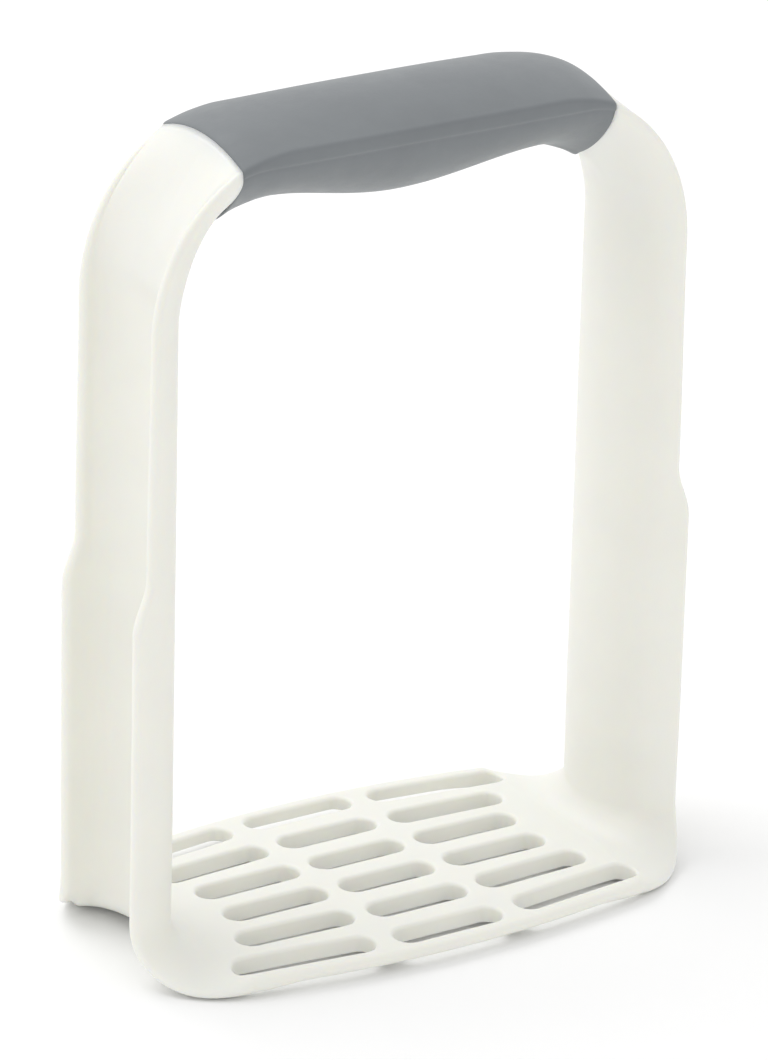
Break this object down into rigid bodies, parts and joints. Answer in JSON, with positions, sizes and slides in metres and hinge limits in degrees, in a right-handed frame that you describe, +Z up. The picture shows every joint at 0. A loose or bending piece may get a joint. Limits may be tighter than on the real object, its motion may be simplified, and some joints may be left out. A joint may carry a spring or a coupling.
{
  "type": "potato masher",
  "caption": "Hand masher: a soft grip across the top of a tall moulded arch whose channelled legs turn under a domed plate with rows of slots.",
  "frame": {"origin": "on the surface that the feet stand on, under the middle of the plate", "axes": "+Z is up from the feet to the grip, +X runs along the grip, and +Y runs from the front to the back of the plate"},
  "size_m": [0.1454, 0.0804, 0.1976],
  "materials": {
    "frame_nylon": "satin moulded nylon, warm white",
    "grip_elastomer": "matte soft-touch elastomer, blue-grey"
  },
  "bodies": {
    "root": {"frame": "frame_nylon", "grip": "grip_elastomer"}
  },
  "joints": []
}
